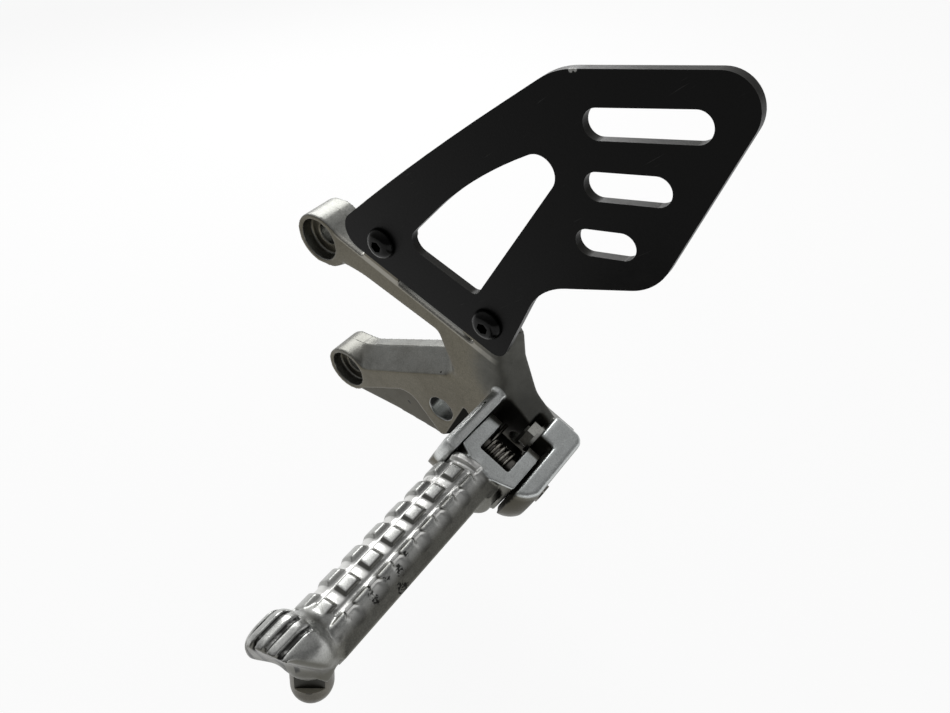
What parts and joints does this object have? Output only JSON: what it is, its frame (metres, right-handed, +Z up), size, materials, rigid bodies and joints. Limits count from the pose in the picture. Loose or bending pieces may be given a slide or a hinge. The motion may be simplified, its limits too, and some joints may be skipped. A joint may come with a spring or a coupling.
{
  "type": "footrest hanger",
  "caption": "Left-hand motorbike footrest hanger: cast two-arm bracket, black heel guard plate and a sprung fold-up ribbed footpeg with a bank feeler.",
  "frame": {"origin": "axis of the upper frame bolt, on the inboard mounting face", "axes": "+X to the rear of the bike, +Y inboard towards the frame, +Z up along the line of the two frame bolts"},
  "size_m": [0.1756, 0.1414, 0.1851],
  "materials": {
    "cast_aluminium": "blasted casting, dull clear lacquer, grey-brown",
    "black_paint": "satin black powder coat, edges rubbed bright",
    "black_screw": "black oxide, satin",
    "peg_aluminium": "polished pads, dull sides, scuffed",
    "feeler_steel": "dull worn steel",
    "pin_steel": "dull zinc",
    "spring_steel": "dark oiled spring steel",
    "bolt_zinc": "bright zinc"
  },
  "bodies": {
    "hanger": {"hanger_casting": "cast_aluminium", "heel_guard": "black_paint", "guard_screws": "black_screw", "pivot_pin": "pin_steel", "pin_washer": "pin_steel", "split_pin": "pin_steel", "return_spring": "spring_steel", "cross_bolt": "bolt_zinc"},
    "peg": {"footpeg": "peg_aluminium", "bank_feeler": "feeler_steel"}
  },
  "joints": [
    {"name": "peg_fold", "type": "hinge", "parent": "hanger", "child": "peg", "pos_m": [0.09694, -0.0324, -0.05385], "axis": [-0.887, 0, 0.4617], "range_deg": [0, 75], "stiffness_Nm_per_rad": 0.6, "springref_deg": -34.38, "deforming": ["return_spring"]}
  ]
}
